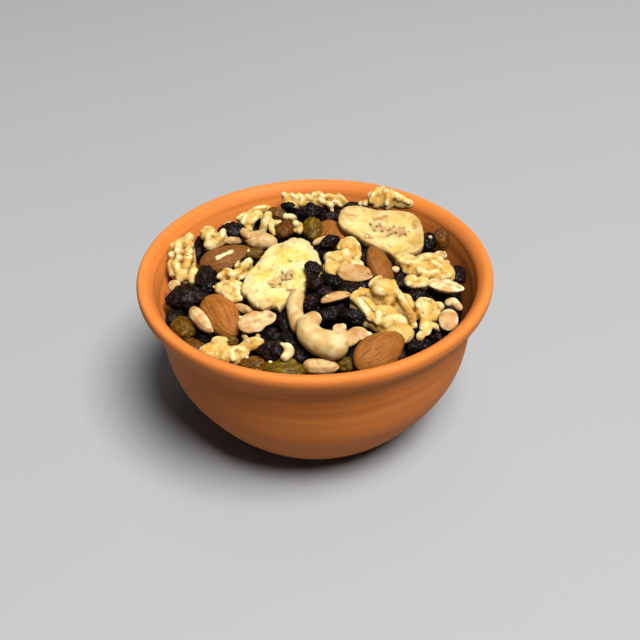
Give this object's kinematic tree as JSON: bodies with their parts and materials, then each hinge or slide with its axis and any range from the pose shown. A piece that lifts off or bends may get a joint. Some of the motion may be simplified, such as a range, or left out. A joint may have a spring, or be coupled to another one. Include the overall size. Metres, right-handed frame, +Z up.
{
  "type": "bowl of trail mix",
  "caption": "Round-bottomed terracotta bowl with a thick rounded lip, filled with trail mix of raisins, nuts and banana slices.",
  "frame": {"origin": "centre of the bowl's foot, on the surface that it stands on", "axes": "+Z up along the bowl's axis, -Y towards the side that is seen in front, +X to that viewer's right"},
  "size_m": [0.16, 0.16, 0.0878],
  "materials": {
    "terracotta": "matt, unglazed",
    "mix": "satin",
    "banana_front": "matt",
    "banana_back": "matt"
  },
  "bodies": {
    "root": {"bowl": "terracotta", "trail_mix": "mix", "banana_slice_front": "banana_front", "banana_slice_back": "banana_back"}
  },
  "joints": []
}
